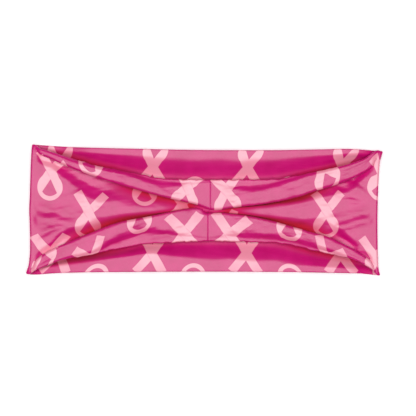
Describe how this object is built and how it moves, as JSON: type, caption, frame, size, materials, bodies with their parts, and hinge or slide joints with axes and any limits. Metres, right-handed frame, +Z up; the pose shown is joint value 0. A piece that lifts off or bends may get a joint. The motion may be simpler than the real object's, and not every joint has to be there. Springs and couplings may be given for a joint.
{
  "type": "headband",
  "caption": "Wide stretch-knit sports headband laid flat: a cloth tube joined in a loop, box-pleated to half its height at the front seam.",
  "frame": {"origin": "centre of the object's box on the flat surface that it lies on", "axes": "+X along the band to the wearer's left of the front seam, +Y across the band to its upper edge, +Z up, out of the pleated front"},
  "size_m": [0.2552, 0.09, 0.0122],
  "materials": {
    "cloth": "smooth satin-faced stretch knit, vivid magenta with a pale pink looped-ribbon print",
    "thread": "matte spun polyester sewing thread, dyed to match the cloth"
  },
  "bodies": {
    "root": {"back_outer_ply": "cloth", "back_inner_ply": "cloth", "back_closing_thread": "thread", "left_turn_outer_ply": "cloth", "left_turn_inner_ply": "cloth", "left_turn_closing_thread": "thread", "right_turn_outer_ply": "cloth", "right_turn_inner_ply": "cloth", "right_turn_closing_thread": "thread", "front_left_outer_ply": "cloth", "front_left_inner_ply": "cloth", "front_left_closing_thread": "thread", "front_right_outer_ply": "cloth", "front_right_inner_ply": "cloth", "front_right_closing_thread": "thread", "front_seam_outer_thread": "thread", "front_seam_inner_thread": "thread", "upper_pleat_tack": "thread", "lower_pleat_tack": "thread"}
  },
  "joints": []
}
